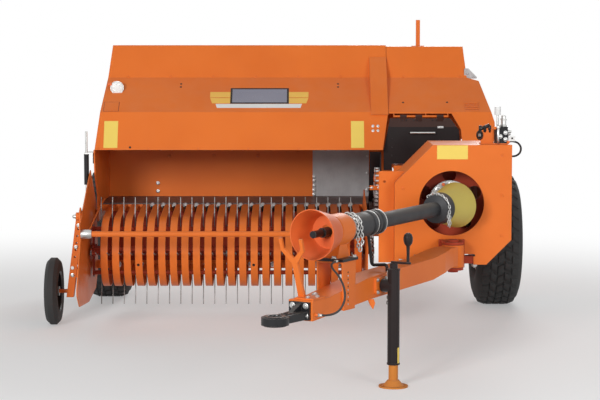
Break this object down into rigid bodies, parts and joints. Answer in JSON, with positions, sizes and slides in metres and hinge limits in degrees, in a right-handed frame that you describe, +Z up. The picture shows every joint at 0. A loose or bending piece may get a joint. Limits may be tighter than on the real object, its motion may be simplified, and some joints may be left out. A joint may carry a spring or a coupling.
{
  "type": "square baler",
  "caption": "Trailed small square baler: offset tined pickup and feed hood beside a bale chamber with flywheel box, swinging drawbar, jack, knotters, twine box and folding bale chute.",
  "frame": {"origin": "ground level below the centre of the object's box", "axes": "+Z up, -Y towards the hitch, +X towards the bale chamber"},
  "size_m": [2.937, 5.4578, 1.8323],
  "materials": {
    "orange_paint": "gloss enamel",
    "shadow_red_paint": "satin enamel",
    "dark_grey_paint": "satin",
    "galvanised": "galvanised sheet",
    "steel": "machined and plated steel",
    "cast_black": "black cast steel",
    "black_paint": "gloss enamel",
    "orange_leg_paint": "gloss enamel",
    "guard_plastic": "moulded",
    "yellow_plastic": "moulded",
    "orange_plastic": "moulded",
    "tyre_rubber": "matt",
    "hose_rubber": "matt",
    "rim_paint": "satin"
  },
  "bodies": {
    "frame": {"axle": "orange_paint", "axle_saddles": "orange_paint", "bale_chamber": "orange_paint", "plunger": "steel", "chamber_rails": "orange_paint", "tension_gear": "orange_paint", "feed_floor": "dark_grey_paint", "feed_back_wall": "orange_paint", "galvanised_sheet": "galvanised", "feed_side_plate": "orange_paint", "feed_beam": "orange_paint", "feeder_hood": "orange_paint", "chamber_hood": "orange_paint", "hood_duct": "orange_paint", "hood_frame": "orange_paint", "feeder_forks": "orange_paint", "mast": "orange_paint", "twine_box": "orange_paint", "knotters": "steel", "needle_yoke": "steel", "lift_spring_rod": "steel", "drive_chain": "steel", "chain_guard": "black_paint", "drive_box": "orange_paint", "inner_plate": "orange_paint", "front_frame": "shadow_red_paint", "gearbox": "shadow_red_paint", "crank": "steel", "connecting_rod": "steel", "valve_block": "steel"},
    "chute": {"bale_chute": "orange_paint"},
    "door": {"access_door": "black_paint"},
    "lid": {"twine_box_lid": "orange_paint"},
    "wheel_left": {"tyre_left": "tyre_rubber", "rim_left": "rim_paint"},
    "wheel_right": {"tyre_right": "tyre_rubber", "rim_right": "rim_paint"},
    "pickup": {"pickup_sheet_right": "orange_paint", "pickup_sheet_left": "orange_paint", "pickup_bands": "orange_paint", "crop_guard_tube": "orange_paint", "gauge_wheel_arm": "orange_paint", "reel_chain": "steel"},
    "reel": {"pickup_reel": "steel"},
    "pickup_wheel": {"gauge_wheel": "tyre_rubber"},
    "rotor": {"flywheel": "steel", "slip_clutch": "steel"},
    "drawbar": {"drawbar_beam": "orange_paint", "hitch_eye": "cast_black", "rest_fork": "orange_paint", "shaft_guard": "guard_plastic", "rear_guard_cone": "yellow_plastic", "front_guard_cone": "orange_plastic", "shaft_bearing": "orange_paint", "bearing_post": "orange_paint", "shaft_hook": "black_paint", "drawbar_hose": "hose_rubber"},
    "shaft": {"drive_shaft": "steel"},
    "jack": {"jack_tube": "black_paint"},
    "leg": {"jack_leg": "orange_leg_paint"}
  },
  "joints": [
    {"name": "wheel_left_spin", "type": "hinge", "parent": "frame", "child": "wheel_left", "pos_m": [1.322, 0.85, 0.4225], "axis": [1, 0, 0], "continuous": true},
    {"name": "wheel_right_spin", "type": "hinge", "parent": "frame", "child": "wheel_right", "pos_m": [-1.202, 1.2, 0.4225], "axis": [1, 0, 0], "continuous": true},
    {"name": "pickup_lift", "type": "hinge", "parent": "frame", "child": "pickup", "pos_m": [0, 0.262, 0.655], "axis": [-1, 0, 0], "range_deg": [0, 18]},
    {"name": "reel_spin", "type": "hinge", "parent": "pickup", "child": "reel", "pos_m": [0, -0.018, 0.446], "axis": [1, 0, 0], "continuous": true},
    {"name": "gauge_wheel_spin", "type": "hinge", "parent": "pickup", "child": "pickup_wheel", "pos_m": [-1.419, -0.016, 0.201], "axis": [1, 0, 0], "continuous": true},
    {"name": "flywheel_spin", "type": "hinge", "parent": "frame", "child": "rotor", "pos_m": [0.885, -0.835, 0.818], "axis": [0, -1, 0], "continuous": true},
    {"name": "drawbar_swing", "type": "hinge", "parent": "frame", "child": "drawbar", "pos_m": [0.885, -1.121, 0.546], "axis": [0, 0, 1], "range_deg": [0, 31]},
    {"name": "shaft_spin", "type": "hinge", "parent": "drawbar", "child": "shaft", "pos_m": [0.52097, -1.71878, 0.80618], "axis": [-0.52, -0.854, -0.0169], "continuous": true},
    {"name": "jack_swing", "type": "hinge", "parent": "drawbar", "child": "jack", "pos_m": [0.51942, -2.00012, 0.5], "axis": [0.8541, -0.5201, 0], "range_deg": [0, 90]},
    {"name": "jack_slide", "type": "slide", "parent": "jack", "child": "leg", "axis": [0, 0, 1], "range_m": [0, 0.06]},
    {"name": "access_door_hinge", "type": "hinge", "parent": "frame", "child": "door", "pos_m": [0.818, 0.118, 1.246], "axis": [-1, 0, 0], "range_deg": [0, 75]},
    {"name": "twine_lid_hinge", "type": "hinge", "parent": "frame", "child": "lid", "pos_m": [0.604, 1.295, 1.086], "axis": [0, 1, 0], "range_deg": [0, 95]},
    {"name": "bale_chute_fold", "type": "hinge", "parent": "frame", "child": "chute", "pos_m": [0.885, 2.35, 0.526], "axis": [1, 0, 0], "range_deg": [0, 90]}
  ],
  "couplings": [
    {"joint": "shaft_spin", "follows": "flywheel_spin", "ratio": 1}
  ]
}
